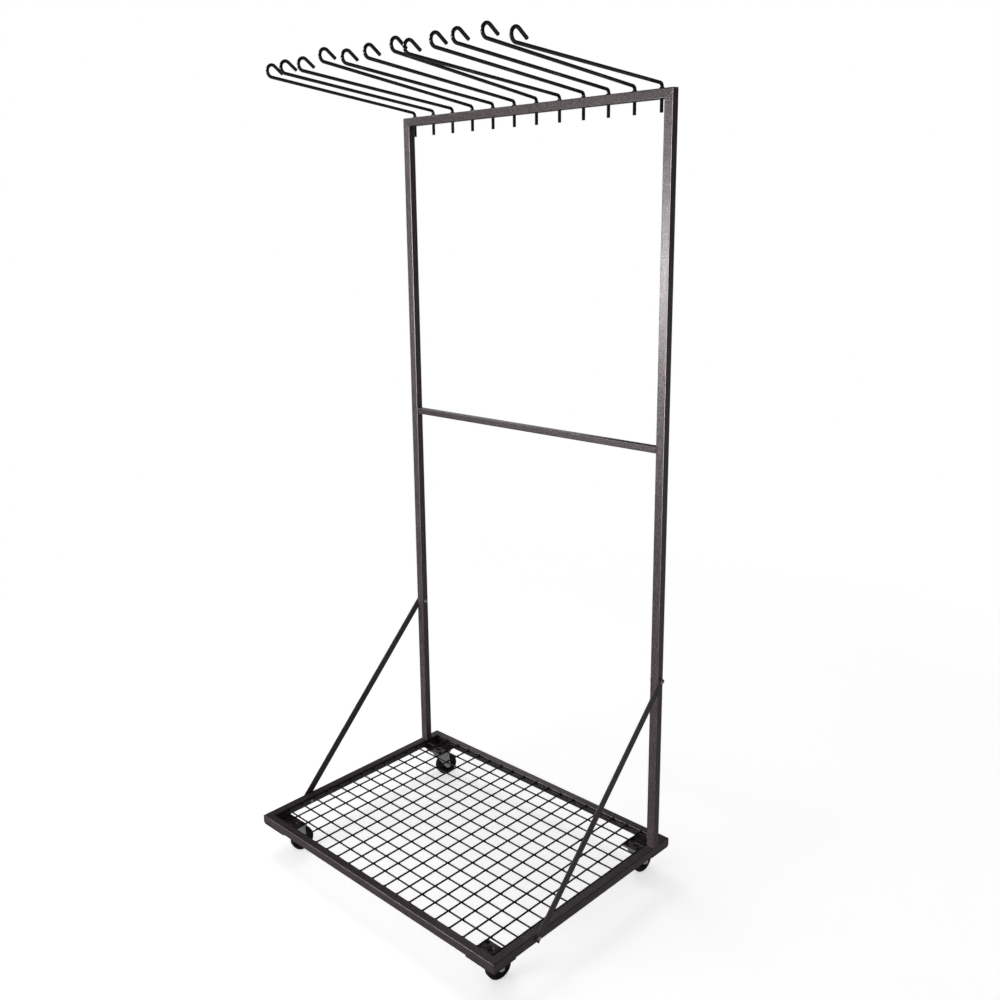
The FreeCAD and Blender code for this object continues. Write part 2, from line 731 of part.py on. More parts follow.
def make_caster_top_plates():
    """Flat top plate with a pressed upper race below it, for each caster."""
    plates = []
    for corner in CORNERS:
        body = new_body("top_plate_" + corner)
        outline = add_sketch(body, "XY_Plane")
        add_rounded_box(
            outline, size("top_plate_width"), size("top_plate_depth"), size("plate_corner"),
            "Dims.top_plate_width", "Dims.top_plate_depth", "Dims.plate_corner",
        )
        for side_x in (-1, 1):
            for side_y in (-1, 1):
                add_circle(
                    outline, side_x * size("bolt_half_x"), side_y * size("bolt_half_y"),
                    size("bolt_hole_dia"), "%d * Dims.bolt_half_x" % side_x,
                    "%d * Dims.bolt_half_y" % side_y, "Dims.bolt_hole_dia",
                )
        add_pad(body, outline, "Dims.top_plate_thick")
        race = add_sketch(body, "XY_Plane", lift="-Dims.race_thick")
        add_circle(race, 0, 0, size("race_dia"), None, None, "Dims.race_dia")
        add_pad(body, race, "Dims.race_thick")
        bore = add_sketch(body, "XY_Plane")
        add_circle(bore, 0, 0, size("kingpin_bore"), None, None, "Dims.kingpin_bore")
        add_cut_through(body, bore)
        level = plate_underside() - size("top_plate_thick")
        body.Placement = Placement(kingpin_place(corner) + Z_AXIS * level, Rotation())
        plates.append(body)
    group = doc.addObject("Part::Compound", "caster_top_plates")
    group.Links = plates
    keep(group, "caster_top_plates")


def race_underside():
    return plate_underside() - size("top_plate_thick") - size("race_thick")


def crown_top():
    """Top of the fork's crown, just clear of the fixed bearing ring."""
    return race_underside() - size("bearing_thick") - size("bearing_gap")


def make_swivel_bearings():
    """Bearing ring under each upper race."""
    outer = Part.makeCylinder(size("bearing_dia") / 2, size("bearing_thick"))
    inner = Part.makeCylinder(size("kingpin_head_dia") / 2, size("bearing_thick"))
    ring = doc.addObject("Part::Feature", "bearing_ring")
    ring.Shape = outer.cut(inner)
    level = race_underside() - size("bearing_thick")
    places = [Placement(kingpin_place(c) + Z_AXIS * level, Rotation()) for c in CORNERS]
    keep_copies("swivel_bearings", ring, places)


def make_kingpins():
    """Rivet through each caster: top head, shank, and bottom head under the fork's crown."""
    bottom = crown_top() - size("crown_thick") - size("kingpin_gap")
    head = size("kingpin_head")
    radius = size("kingpin_dia") / 2
    head_radius = size("kingpin_head_dia") / 2
    rivet = Part.makeCylinder(radius, plate_underside() - bottom, Z_AXIS * bottom)
    rivet = rivet.fuse(Part.makeCylinder(head_radius, head, Z_AXIS * plate_underside()))
    rivet = rivet.fuse(Part.makeCylinder(head_radius, head, Z_AXIS * (bottom - head)))
    master = doc.addObject("Part::Feature", "kingpin_rivet")
    master.Shape = rivet.removeSplitter()
    places = [Placement(kingpin_place(corner), Rotation()) for corner in CORNERS]
    keep_copies("caster_kingpins", master, places)


def make_plate_fasteners():
    """Bolts down through both plates at each corner, with nuts below."""
    grip_cell = (
        "Dims.plate_thick + Dims.top_plate_thick + Dims.nut_thick + Dims.bolt_spare / 2"
    )
    bolt = hex_bolt("plate_bolt", grip_cell)
    nut = hex_nut("plate_nut", "Dims.hex_radius", "Dims.bolt_dia", "Dims.nut_thick")
    head_level = plate_underside() + size("plate_thick")
    nut_level = plate_underside() - size("top_plate_thick") - size("nut_thick")
    bolts = []
    nuts = []
    for corner in CORNERS:
        for side_x in (-1, 1):
            for side_y in (-1, 1):
                shift = Vector(side_x * size("bolt_half_x"), side_y * size("bolt_half_y"), 0)
                point = kingpin_place(corner) + shift
                bolts.append(Placement(point + Z_AXIS * head_level, Rotation()))
                nuts.append(Placement(point + Z_AXIS * nut_level, Rotation()))
    keep_copies("caster_plate_bolts", bolt, bolts)
    keep_copies("caster_plate_nuts", nut, nuts)


def add_leg_outline(sketch):
    """Side view of the fork's legs: wide at the crown, round about the axle, heel upright."""
    trail = size("trail")
    level = size("wheel_dia") / 2
    top = crown_top() - size("crown_thick") / 2
    radius = size("leg_end_radius")
    centre = Vector(trail, level, 0)
    corners = (Vector(-size("leg_lead"), top, 0), Vector(size("leg_heel"), top, 0))
    tangents = []
    for corner, turn in zip(corners, (1, -1)):
        reach = corner - centre
        lean = math.atan2(reach.y, reach.x) + turn * math.acos(radius / reach.Length)
        tangents.append(centre + Vector(math.cos(lean), math.sin(lean), 0) * radius)
    back_foot, front_foot = tangents
    sketch.addGeometry(Part.LineSegment(corners[1], corners[0]))
    sketch.addGeometry(Part.LineSegment(corners[0], back_foot))
    sketch.addGeometry(arc_between(centre, back_foot, front_foot))
    sketch.addGeometry(Part.LineSegment(front_foot, corners[1]))
    sketch.addConstraint(Sketcher.Constraint("Coincident", 0, 2, 1, 1))
    sketch.addConstraint(Sketcher.Constraint("Tangent", 1, 2, 2, 1))
    sketch.addConstraint(Sketcher.Constraint("Tangent", 2, 2, 3, 1))
    sketch.addConstraint(Sketcher.Constraint("Coincident", 3, 2, 0, 1))
    bind(sketch, "DistanceX", (0, 1), size("leg_heel"), "Dims.leg_heel")
    bind(sketch, "DistanceX", (0, 2), -size("leg_lead"), "-Dims.leg_lead")
    bind(sketch, "DistanceY", (0, 1), top, "%g" % top)
    sketch.addConstraint(Sketcher.Constraint("Horizontal", 0))
    bind(sketch, "DistanceX", (2, 3), trail, "Dims.trail")
    bind(sketch, "DistanceY", (2, 3), level, "Dims.wheel_dia / 2")
    bind(sketch, "Radius", (2,), radius, "Dims.leg_end_radius")


def make_fork(corner, placement):
    """Swivel fork: two legs under a round crown; local +X is the trailing direction."""
    body = new_body("fork_" + corner)
    outer_cell = "Dims.boss_width + 2 * Dims.wheel_gap + 2 * Dims.leg_thick"
    legs = add_sketch(body, "XZ_Plane")
    add_leg_outline(legs)
    add_pad(body, legs, outer_cell, symmetric=True)

    # Slot between the legs for the wheel, open at the bottom and closed by the crown.
    slot_top = crown_top() - size("crown_thick")
    slot_half = size("boss_width") / 2 + size("wheel_gap")
    slot_cell = "Dims.boss_width / 2 + Dims.wheel_gap"
    slot = add_sketch(body, "YZ_Plane")
    add_polygon(slot, (
        (-slot_half, 0, "-(%s)" % slot_cell, "0"),
        (slot_half, 0, slot_cell, "0"),
        (slot_half, slot_top, slot_cell, "%g" % slot_top),
        (-slot_half, slot_top, "-(%s)" % slot_cell, "%g" % slot_top),
    ))
    add_cut_through(body, slot)

    crown = add_sketch(body, "XY_Plane", lift="%g" % slot_top)
    add_circle(crown, 0, 0, size("race_dia"), None, None, "Dims.race_dia")
    add_pad(body, crown, "Dims.crown_thick")
    bore = add_sketch(body, "XY_Plane")
    add_circle(bore, 0, 0, size("kingpin_bore"), None, None, "Dims.kingpin_bore")
    add_cut_through(body, bore)
    axle = add_sketch(body, "XZ_Plane")
    add_circle(
        axle, size("trail"), size("wheel_dia") / 2, size("axle_bore"),
        "Dims.trail", "Dims.wheel_dia / 2", "Dims.axle_bore",
    )
    add_cut_through(body, axle)
    keep(body, body.Name, placement)


def add_ring_profile(sketch, inner, outer, half, inner_cell, outer_cell, half_cell):
    """Rectangle between two radii, to be turned about the sketch's vertical axis."""
    add_polygon(sketch, (
        (inner, -half, inner_cell, "-(%s)" % half_cell),
        (outer, -half, outer_cell, "-(%s)" % half_cell),
        (outer, half, outer_cell, half_cell),
        (inner, half, inner_cell, half_cell),
    ))


def is_rim(edge, radius):
    return isinstance(edge.Curve, Part.Circle) and abs(edge.Curve.Radius - radius) < 0.01


def make_wheel(corner, placement):
    """Hub with a central boss, and the tyre around it; both turn about local Z."""
    hub = new_body("hub_" + corner)
    disc = add_sketch(hub, "XZ_Plane")
    add_ring_profile(
        disc, size("axle_bore") / 2, size("tyre_bed_dia") / 2, size("hub_width") / 2,
        "Dims.axle_bore / 2", "Dims.tyre_bed_dia / 2", "Dims.hub_width / 2",
    )
    add_revolution(hub, disc, "V_Axis")
    boss = add_sketch(hub, "XZ_Plane")
    add_ring_profile(
        boss, size("axle_bore") / 2, size("boss_dia") / 2, size("boss_width") / 2,
        "Dims.axle_bore / 2", "Dims.boss_dia / 2", "Dims.boss_width / 2",
    )
    add_revolution(hub, boss, "V_Axis")
    keep(hub, hub.Name, placement)

    tyre = new_body("tyre_" + corner)
    band = add_sketch(tyre, "XZ_Plane")
    wheel_radius = size("wheel_dia") / 2
    add_ring_profile(
        band, size("tyre_bed_dia") / 2, wheel_radius, size("tyre_width") / 2,
        "Dims.tyre_bed_dia / 2", "Dims.wheel_dia / 2", "Dims.tyre_width / 2",
    )
    add_revolution(tyre, band, "V_Axis")
    round_edges(tyre, lambda edge: is_rim(edge, wheel_radius), "Dims.tyre_shoulder")
    keep(tyre, tyre.Name, placement)


def make_axle(corner, placement):
    """Axle bolt through the fork and the wheel, with a nut on its far end; along local Z."""
    outer_cell = "(Dims.boss_width / 2 + Dims.wheel_gap + Dims.leg_thick)"
    outer = size("boss_width") / 2 + size("wheel_gap") + size("leg_thick")
    head = doc.addObject("Part::Prism", "axle_head_" + corner)
    head.Polygon = 6
    head.setExpression("Circumradius", "Dims.axle_hex_radius")
    head.setExpression("Height", "Dims.axle_head_thick")
    head.setExpression(".Placement.Base.z", outer_cell)
    shank = doc.addObject("Part::Cylinder", "axle_shank_" + corner)
    shank.setExpression("Radius", "Dims.axle_dia / 2")
    length_cell = "2 * %s + Dims.axle_nut_thick + Dims.bolt_spare" % outer_cell
    shank.setExpression("Height", length_cell)
    foot_cell = "-(%s + Dims.axle_nut_thick + Dims.bolt_spare)" % outer_cell
    shank.setExpression(".Placement.Base.z", foot_cell)
    bolt = doc.addObject("Part::Fuse", "axle_bolt_" + corner)
    bolt.Base = head
    bolt.Tool = shank
    keep(bolt, bolt.Name, placement)
    nut = hex_nut(
        "axle_nut_" + corner, "Dims.axle_hex_radius", "Dims.axle_dia", "Dims.axle_nut_thick",
    )
    seat = Placement(Z_AXIS * -(outer + size("axle_nut_thick")), Rotation())
    keep(nut, nut.Name, placement.multiply(seat))


def make_casters():
    make_corner_plates()
    make_caster_top_plates()
    make_swivel_bearings()
    make_kingpins()
    make_plate_fasteners()
    for corner in CORNERS:
        swivel = Placement(kingpin_place(corner), Rotation(Z_AXIS, TRAIL_ANGLE[corner]))
        make_fork(corner, swivel)
        centre = Vector(size("trail"), 0, size("wheel_dia") / 2)
        # Local Z of the wheel and the axle lies across the fork.
        across = Placement(centre, orient(X_AXIS, Z_AXIS))
        axle = swivel.multiply(across)
        make_wheel(corner, axle)
        make_axle(corner, axle)


# ---- build, check and write ---------------------------------------------------------------

def check_document():
    for item in doc.Objects:
        if "Invalid" in item.State or "Error" in item.State:
            raise RuntimeError("%s failed: %s" % (item.Name, item.State))
    for item in sub_parts:
        if item.Shape.isNull() or not item.Shape.isValid():
            raise RuntimeError("%s has no valid shape" % item.Label)
        if not item.Shape.Solids:
            raise RuntimeError("%s has no solid" % item.Label)


def write_parts():
    os.makedirs("parts", exist_ok=True)
    for item in sub_parts:
        item.Shape.exportStep("parts/%s.step" % item.Label)


make_base_rails()
make_posts()
make_top_bar()
make_mid_bar()
make_deck()
make_braces()
make_brace_fasteners()
for arm_number in range(ARM_COUNT):
    make_arm(arm_number)
make_pin_washers()
make_casters()
doc.recompute()
check_document()
write_parts()
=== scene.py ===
import json
import math

import bmesh
import bpy
from mathutils import Matrix, Vector

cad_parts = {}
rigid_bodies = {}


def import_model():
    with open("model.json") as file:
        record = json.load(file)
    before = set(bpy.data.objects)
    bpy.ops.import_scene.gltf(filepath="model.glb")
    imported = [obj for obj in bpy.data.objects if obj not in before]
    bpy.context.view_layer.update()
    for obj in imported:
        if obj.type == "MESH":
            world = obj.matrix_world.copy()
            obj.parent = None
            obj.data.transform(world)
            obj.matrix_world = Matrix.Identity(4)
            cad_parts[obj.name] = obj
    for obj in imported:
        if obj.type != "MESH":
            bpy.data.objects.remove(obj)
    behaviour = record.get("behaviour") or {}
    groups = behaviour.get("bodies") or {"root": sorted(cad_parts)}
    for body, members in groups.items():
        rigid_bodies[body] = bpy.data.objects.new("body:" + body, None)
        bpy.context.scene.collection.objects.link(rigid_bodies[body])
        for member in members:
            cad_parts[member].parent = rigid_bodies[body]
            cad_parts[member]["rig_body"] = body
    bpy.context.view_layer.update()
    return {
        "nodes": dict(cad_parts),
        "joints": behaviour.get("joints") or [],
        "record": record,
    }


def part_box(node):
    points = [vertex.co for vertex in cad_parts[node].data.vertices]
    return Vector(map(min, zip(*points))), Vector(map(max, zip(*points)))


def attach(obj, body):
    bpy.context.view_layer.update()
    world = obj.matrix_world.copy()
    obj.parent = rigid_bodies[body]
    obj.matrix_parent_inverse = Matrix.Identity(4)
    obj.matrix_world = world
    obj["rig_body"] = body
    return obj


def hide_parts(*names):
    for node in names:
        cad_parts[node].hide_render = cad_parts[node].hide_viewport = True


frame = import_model()
NODES = frame["nodes"]
JOINTS = {joint["name"]: joint for joint in frame["joints"]}
SLOTS = {entry["node"]: entry["material_slot"] for entry in frame["record"]["subparts"]}
CORNERS = ("front_left", "front_right", "back_left", "back_right")
MM = 0.001
TAU = 2 * math.pi

# Brightness of the backdrop to the camera, of the room's soft light on matt surfaces, and of
# the room and the floor in reflections.
BACKDROP_LEVEL = 1.0
ROOM_LEVEL = 0.38
REFLECTED_ROOM = 0.06
REFLECTED_FLOOR = 0.2


# ---- materials ----------------------------------------------------------------------------

class Shader:
    """A node material under construction: makes nodes and joins them by socket name."""

    def __init__(self, name):
        self.material = bpy.data.materials.new(name)
        self.material.use_nodes = True
        self.tree = self.material.node_tree
        self.surface = self.tree.nodes["Principled BSDF"]
        self.place = self.add("ShaderNodeTexCoord").outputs["Object"]

    def add(self, kind, **values):
        node = self.tree.nodes.new(kind)
        for name, value in values.items():
            if name in node.inputs:
                node.inputs[name].default_value = value
            else:
                setattr(node, name, value)
        return node

    def join(self, output, target):
        self.tree.links.new(output, target)

    def set(self, **values):
        for name, value in values.items():
            self.surface.inputs[name.replace("_", " ")].default_value = value

    def noise(self, scale, detail=2.0, roughness=0.5):
        node = self.add("ShaderNodeTexNoise", Scale=scale, Detail=detail, Roughness=roughness)
        self.join(self.place, node.inputs["Vector"])
        return node.outputs["Fac"]

    def cells(self, scale):
        node = self.add("ShaderNodeTexVoronoi", feature="SMOOTH_F1", Scale=scale)
        self.join(self.place, node.inputs["Vector"])
        return node.outputs["Distance"]

    def ramp(self, source, *stops):
        """Colour ramp through (position, colour) stops; a colour may be one grey level."""
        node = self.add("ShaderNodeValToRGB")
        elements = node.color_ramp.elements
        while len(elements) < len(stops):
            elements.new(0.5)
        for element, (position, colour) in zip(elements, stops):
            grey = isinstance(colour, (int, float))
            element.position = position
            element.color = (colour, colour, colour, 1) if grey else (*colour, 1)
        self.join(source, node.inputs["Fac"])
        return node.outputs["Color"]

    def mix(self, share, first, second):
        """Mix of two colours; the mix node keeps those sockets at 6, 7 and 2."""
        node = self.add("ShaderNodeMix", data_type="RGBA")
        for output, target in ((share, 0), (first, 6), (second, 7)):
            self.join(output, node.inputs[target])
        return node.outputs[2]

    def glow(self, level):
        return self.add("ShaderNodeEmission", Strength=level).outputs[0]

    def blend(self, share, first, second):
        """Mix of two surfaces."""
        node = self.add("ShaderNodeMixShader")
        for index, output in enumerate((share, first, second)):
            self.join(output, node.inputs[index])
        return node.outputs[0]

    def bump(self, source, strength, distance, under=None):
        node = self.add("ShaderNodeBump", Strength=strength, Distance=distance)
        self.join(source, node.inputs["Height"])
        if under is not None:
            self.join(under, node.inputs["Normal"])
        return node.outputs["Normal"]

    def finish(self, colour, roughness, normal):
        """Join the surface's three main inputs and hand over the material."""
        inputs = self.surface.inputs
        self.join(colour, inputs["Base Color"])
        self.join(roughness, inputs["Roughness"])
        self.join(normal, inputs["Normal"])
        return self.material


def hammertone():
    """Dark bronze powder coat with small dimples and fine lighter flecks."""
    shader = Shader("hammertone_coat")
    dimples = shader.cells(330)
    flecks = shader.noise(700, detail=2.0, roughness=0.6)
    clouds = shader.noise(14, detail=3.0)
    base = shader.ramp(dimples, (0.15, (0.019, 0.013, 0.0135)), (0.75, (0.060, 0.042, 0.0445)))
    fleck_mask = shader.ramp(flecks, (0.54, 0.0), (0.68, 1.0))
    pale = shader.ramp(clouds, (0.3, (0.15, 0.112, 0.118)), (0.7, (0.225, 0.176, 0.185)))
    tint = shader.mix(fleck_mask, base, pale)
    rough = shader.ramp(dimples, (0.1, 0.30), (0.8, 0.46))
    dents = shader.bump(dimples, 0.35, 0.0005)
    shader.set(Metallic=0.35, Coat_Weight=0.35, Coat_Roughness=0.25)
    return shader.finish(tint, rough, shader.bump(flecks, 0.15, 0.0002, dents))


def satin_black():
    """Thin black powder coat on the wires, slightly uneven."""
    shader = Shader("deck_coat")
    grain = shader.noise(1200, detail=3.0)
    patches = shader.noise(30, detail=2.0)
    tint = shader.ramp(patches, (0.3, (0.003, 0.0027, 0.0027)), (0.7, (0.008, 0.007, 0.007)))
    rough = shader.ramp(grain, (0.3, 0.34), (0.7, 0.50))
    shader.set(Coat_Weight=0.15, Coat_Roughness=0.25, Specular_IOR_Level=0.3)
    return shader.finish(tint, rough, shader.bump(grain, 0.12, 0.0002))


def gloss_black():
    """Glossy black enamel with a faint orange-peel surface."""
    shader = Shader("arm_coat")
    peel = shader.noise(420, detail=1.0)
    tint = shader.ramp(peel, (0.35, (0.003, 0.003, 0.003)), (0.65, (0.007, 0.006, 0.006)))
    rough = shader.ramp(peel, (0.3, 0.18), (0.7, 0.30))
    shader.set(Coat_Weight=0.8, Coat_Roughness=0.07)
    return shader.finish(tint, rough, shader.bump(peel, 0.10, 0.0002))


def zinc():
    """Bright zinc plate with soft cloudy variation."""
    shader = Shader("zinc_plate")
    clouds = shader.noise(160, detail=4.0, roughness=0.6)
    grain = shader.noise(2200, detail=1.0)
    tint = shader.ramp(clouds, (0.3, (0.48, 0.49, 0.50)), (0.7, (0.72, 0.72, 0.71)))
    rough = shader.ramp(clouds, (0.3, 0.26), (0.7, 0.44))
    shader.set(Metallic=0.72)
    return shader.finish(tint, rough, shader.bump(grain, 0.08, 0.0001))


def moulded_black():
    """Black moulded plastic with a fine spark texture."""
    shader = Shader("hub_plastic")
    grain = shader.noise(1800, detail=2.0)
    tint = shader.ramp(grain, (0.3, (0.005, 0.005, 0.0055)), (0.7, (0.010, 0.010, 0.0105)))
    rough = shader.ramp(grain, (0.3, 0.38), (0.7, 0.55))
    shader.set(Specular_IOR_Level=0.3)
    return shader.finish(tint, rough, shader.bump(grain, 0.10, 0.0001))


def rubber():
    """Black rubber, a little greyer where it is scuffed."""
    shader = Shader("tyre_rubber")
    scuff = shader.noise(90, detail=5.0, roughness=0.65)
    grain = shader.noise(1500, detail=2.0)
    tint = shader.ramp(scuff, (0.45, (0.004, 0.004, 0.004)), (0.75, (0.014, 0.0135, 0.013)))
    rough = shader.ramp(scuff, (0.4, 0.48), (0.7, 0.66))
    shader.set(Specular_IOR_Level=0.3)
    return shader.finish(tint, rough, shader.bump(grain, 0.15, 0.0002))


def studio_floor(near=1.3, far=3.4, lift=0.56):
    """Pale floor with soft shadows that turns into an even white backdrop away from the rack.

    Reflections see it darker, as in a studio with a small white sweep.
    """
    shader = Shader("studio_floor")
    mottle = shader.noise(0.8, detail=2.0)
    pale = shader.ramp(mottle, (0.3, 0.87), (0.7, 0.89))
    shader.join(pale, shader.surface.inputs["Base Color"])
    shader.set(Roughness=0.95, Specular_IOR_Level=0.1)
    matt = shader.surface.outputs[0]
    distance = shader.add("ShaderNodeVectorMath", operation="LENGTH")
    shader.join(shader.place, distance.inputs[0])
    share = shader.add("ShaderNodeMapRange", interpolation_type="SMOOTHSTEP")
    share.inputs["From Min"].default_value = near
    share.inputs["From Max"].default_value = far
    shader.join(distance.outputs["Value"], share.inputs["Value"])
    lifted = shader.add("ShaderNodeAddShader")
    shader.join(matt, lifted.inputs[0])
    shader.join(shader.glow(lift), lifted.inputs[1])
    seen = shader.blend(share.outputs["Result"], lifted.outputs[0], shader.glow(BACKDROP_LEVEL))
    rays = shader.add("ShaderNodeLightPath")
    unseen = shader.blend(rays.outputs["Is Glossy Ray"], matt, shader.glow(REFLECTED_FLOOR))
    surface = shader.blend(rays.outputs["Is Camera Ray"], unseen, seen)
    shader.join(surface, shader.tree.nodes["Material Output"].inputs["Surface"])
    return shader.material


FINISH = {
    "frame_coat": hammertone(),
    "deck_coat": satin_black(),
    "arm_coat": gloss_black(),
    "zinc": zinc(),
    "wheel_hub": moulded_black(),
    "tyre": rubber(),
}


def coat(piece, material):
    """Give every material slot of a piece the same finish."""
    if not piece.material_slots:
        piece.data.materials.append(material)
    for slot in piece.material_slots:
        slot.material = material


# ---- CAD nodes that are shown as they are ---------------------------------------------------

def dress_cad_nodes():
    """Give every CAD node the finish its record names."""
    for name, slot in SLOTS.items():
        coat(NODES[name], FINISH[slot])


# ---- building pieces, in millimetres --------------------------------------------------------

def add_piece(name, form, slot, body, node=None, smooth_angle=38):
    """Turn a finished bmesh, in millimetres, into a piece that rides on a body.

    It takes the place of a CAD node where one is given.
    """
    bmesh.ops.recalc_face_normals(form, faces=form.faces)
    mesh = bpy.data.meshes.new(name)
    form.to_mesh(mesh)
    form.free()
    mesh.transform(Matrix.Scale(MM, 4))
    mesh.shade_smooth()
    mesh.set_sharp_from_angle(angle=math.radians(smooth_angle))
    piece = bpy.data.objects.new(name, mesh)
    bpy.context.scene.collection.objects.link(piece)
    coat(piece, FINISH[slot])
    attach(piece, body)
    if node:
        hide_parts(node)
    return piece


def circle(radius, height, steps=48):
    """Ring of points about local Z."""
    turns = (TAU * step / steps for step in range(steps))
    return [Vector((radius * math.cos(t), radius * math.sin(t), height)) for t in turns]


def skin(form, rings, place=Matrix.Identity(4), loop=False):
    """Quads between neighbouring rings; the ends are capped unless the rings form a loop."""
    rows = [[form.verts.new(place @ point) for point in ring] for ring in rings]
    following = rows[1:] + rows[:1] if loop else rows[1:]
    for lower, upper in zip(rows, following):
        for index, vertex in enumerate(lower):
            after = (index + 1) % len(lower)
            form.faces.new((vertex, lower[after], upper[after], upper[index]))
    if not loop:
        form.faces.new(list(reversed(rows[0])))
        form.faces.new(rows[-1])


def lathe(form, profile, place=Matrix.Identity(4), steps=48, loop=False):
    """Turn a profile of (radius, height) points about local Z."""
    skin(form, [circle(radius, height, steps) for radius, height in profile], place, loop)


def axis_place(origin, axis):
    """Matrix that puts local Z along an axis through a point."""
    turn = Vector(axis).to_track_quat("Z", "Y").to_matrix().to_4x4()
    return Matrix.Translation(origin) @ turn


def solids(name):
    """Points, in millimetres, of each separate solid of a CAD node."""
    form = bmesh.new()
    form.from_mesh(NODES[name].data)
    bmesh.ops.remove_doubles(form, verts=form.verts, dist=1e-6)
    waiting = set(form.verts)
    found = []
    for start in form.verts:
        if start not in waiting:
            continue
        waiting.discard(start)
        front = [start]
        points = []
        while front:
            vertex = front.pop()
            points.append(vertex.co / MM)
            for edge in vertex.link_edges:
                other = edge.other_vert(vertex)
                if other in waiting:
                    waiting.discard(other)
                    front.append(other)
        found.append(points)
    form.free()
    return found


def span(points, axis):
    """Lowest and highest reach of points along an axis."""
    reaches = [point.dot(axis) for point in points]
    return min(reaches), max(reaches)


def middle(points):
    """Middle of the box around points."""
    return Vector([sum(span(points, axis)) / 2 for axis in Matrix.Identity(3)])


# ---- sheet and tube pieces with rounded edges ------------------------------------------------

def soften(name, width):
    """Copy of a CAD node with its sharp edges rounded; meeting ends then show a fine groove."""
    merge_distance = 0.002
    flat_limit = math.radians(0.4)
    crease = math.radians(40)
    form = bmesh.new()
    form.from_mesh(NODES[name].data)
    bmesh.ops.scale(form, vec=Vector((1, 1, 1)) / MM, verts=form.verts)
    bmesh.ops.remove_doubles(form, verts=form.verts, dist=merge_distance)
    bmesh.ops.dissolve_limit(
        form, angle_limit=flat_limit, verts=form.verts, edges=form.edges,
    )
    sharp = [
        edge for edge in form.edges
        if len(edge.link_faces) == 2 and edge.calc_face_angle() > crease
    ]
    bmesh.ops.bevel(
        form, geom=sharp, offset=width, segments=2, profile=0.5, affect="EDGES",
        clamp_overlap=True,
    )
    body = NODES[name]["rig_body"]
    piece = add_piece(name + "_shell", form, SLOTS[name], body, name, smooth_angle=60)
    weighted = piece.modifiers.new("flat_faces", "WEIGHTED_NORMAL")
    weighted.keep_sharp = True


def add_soft_edged_pieces():
    """Tubes, plates, braces and forks."""
    tube_edge = 0.45
    plate_edge = 0.5
    sides = ("left", "right")
    tubes = ["front_rail", "back_rail", "left_rail", "right_rail", "top_bar", "mid_bar"]
    tubes += [side + "_lower_post" for side in sides]
    tubes += [side + "_upper_post" for side in sides]
    plates = ["corner_plates", "caster_top_plates"]
    plates += [side + "_brace" for side in sides]
    plates += ["fork_" + corner for corner in CORNERS]
    for name in tubes:
        soften(name, tube_edge)
    for name in plates:
        soften(name, plate_edge)


# ---- fasteners ------------------------------------------------------------------------------

HEX_STEPS = 48


def hexagon(half_flats, level):
    """Ring of a hexagon whose points sink below level where it reaches past the flats."""
    points = []
    bevel = math.tan(math.radians(30))
    for step in range(HEX_STEPS):
        turn = TAU * step / HEX_STEPS
        off_flat = (turn + TAU / 12) % (TAU / 6) - TAU / 12
        reach = half_flats / math.cos(off_flat)
        drop = (reach - half_flats) * bevel
        points.append(Vector((reach * math.cos(turn), reach * math.sin(turn), level(drop))))
    return points


def thread_rings(radius, pitch, start, end):
    """Rings of a right-hand thread between two heights, with a groove that climbs as it turns."""
    depth = 0.55 * pitch
    rings_per_turn = 6
    count = max(4, round(abs(end - start) / pitch * rings_per_turn))
    rings = []
    for index in range(count + 1):
        height = start + (end - start) * index / count
        ring = []
        for step in range(HEX_STEPS):
            turn = TAU * step / HEX_STEPS
            phase = (height / pitch - step / HEX_STEPS) % 1
            fade = min(1, index / 2, (count - index) / 2)
            reach = radius - depth * fade * (1 - abs(2 * phase - 1)) * 0.8
            ring.append(Vector((reach * math.cos(turn), reach * math.sin(turn), height)))
        rings.append(ring)
    return rings


def add_bolt(form, place, half_flats, head, radius, length, threaded, pitch):
    """Hex bolt: underside of the head at the origin, shank of the given length below."""
    crown = half_flats * 0.94
    tip = 0.8
    thread_top = threaded - length
    rings = [circle(radius - tip, -length, HEX_STEPS)]
    rings += thread_rings(radius, pitch, tip - length, thread_top)
    rings += [circle(radius, thread_top + 0.3, HEX_STEPS), circle(radius, 0, HEX_STEPS)]
    rings += [circle(crown, 0, HEX_STEPS), hexagon(half_flats, lambda drop: drop * 0.4)]
    rings += [hexagon(half_flats, lambda drop: head - 0.25 - drop)]
    rings += [circle(crown, head - 0.05, HEX_STEPS), circle(crown * 0.86, head, HEX_STEPS)]
    rings += [circle(crown * 0.6, head - 0.3, HEX_STEPS)]
    skin(form, rings, place)


def add_nut(form, place, half_flats, thick, bore):
    """Hex nut from the origin up, chamfered on both faces."""
    crown = half_flats * 0.94
    lead = 0.5
    rings = [
        circle(bore + lead, 0, HEX_STEPS),
        circle(crown, 0, HEX_STEPS),
        hexagon(half_flats, lambda drop: 0.2 + drop),
        hexagon(half_flats, lambda drop: thick - 0.2 - drop),
        circle(crown, thick, HEX_STEPS),
        circle(bore + lead, thick, HEX_STEPS),
        circle(bore, thick - lead, HEX_STEPS),
        circle(bore, lead, HEX_STEPS),
    ]
    skin(form, rings, place, loop=True)


def bolt_group(name, axis_of, head, half_flats, radius, threaded, pitch):
    """Refined bolts in place of every bolt of a CAD node; axis_of gives the way a head points."""
    form = bmesh.new()
    for points in solids(name):
        centre = middle(points)
        axis = axis_of(centre)
        low, high = span(points, axis)
        seat = centre + axis * (high - head - centre.dot(axis))
        length = high - head - low
        place = axis_place(seat, axis)
        add_bolt(form, place, half_flats, head, radius, length, threaded, pitch)
    add_piece(name + "_hex", form, SLOTS[name], "frame", name)


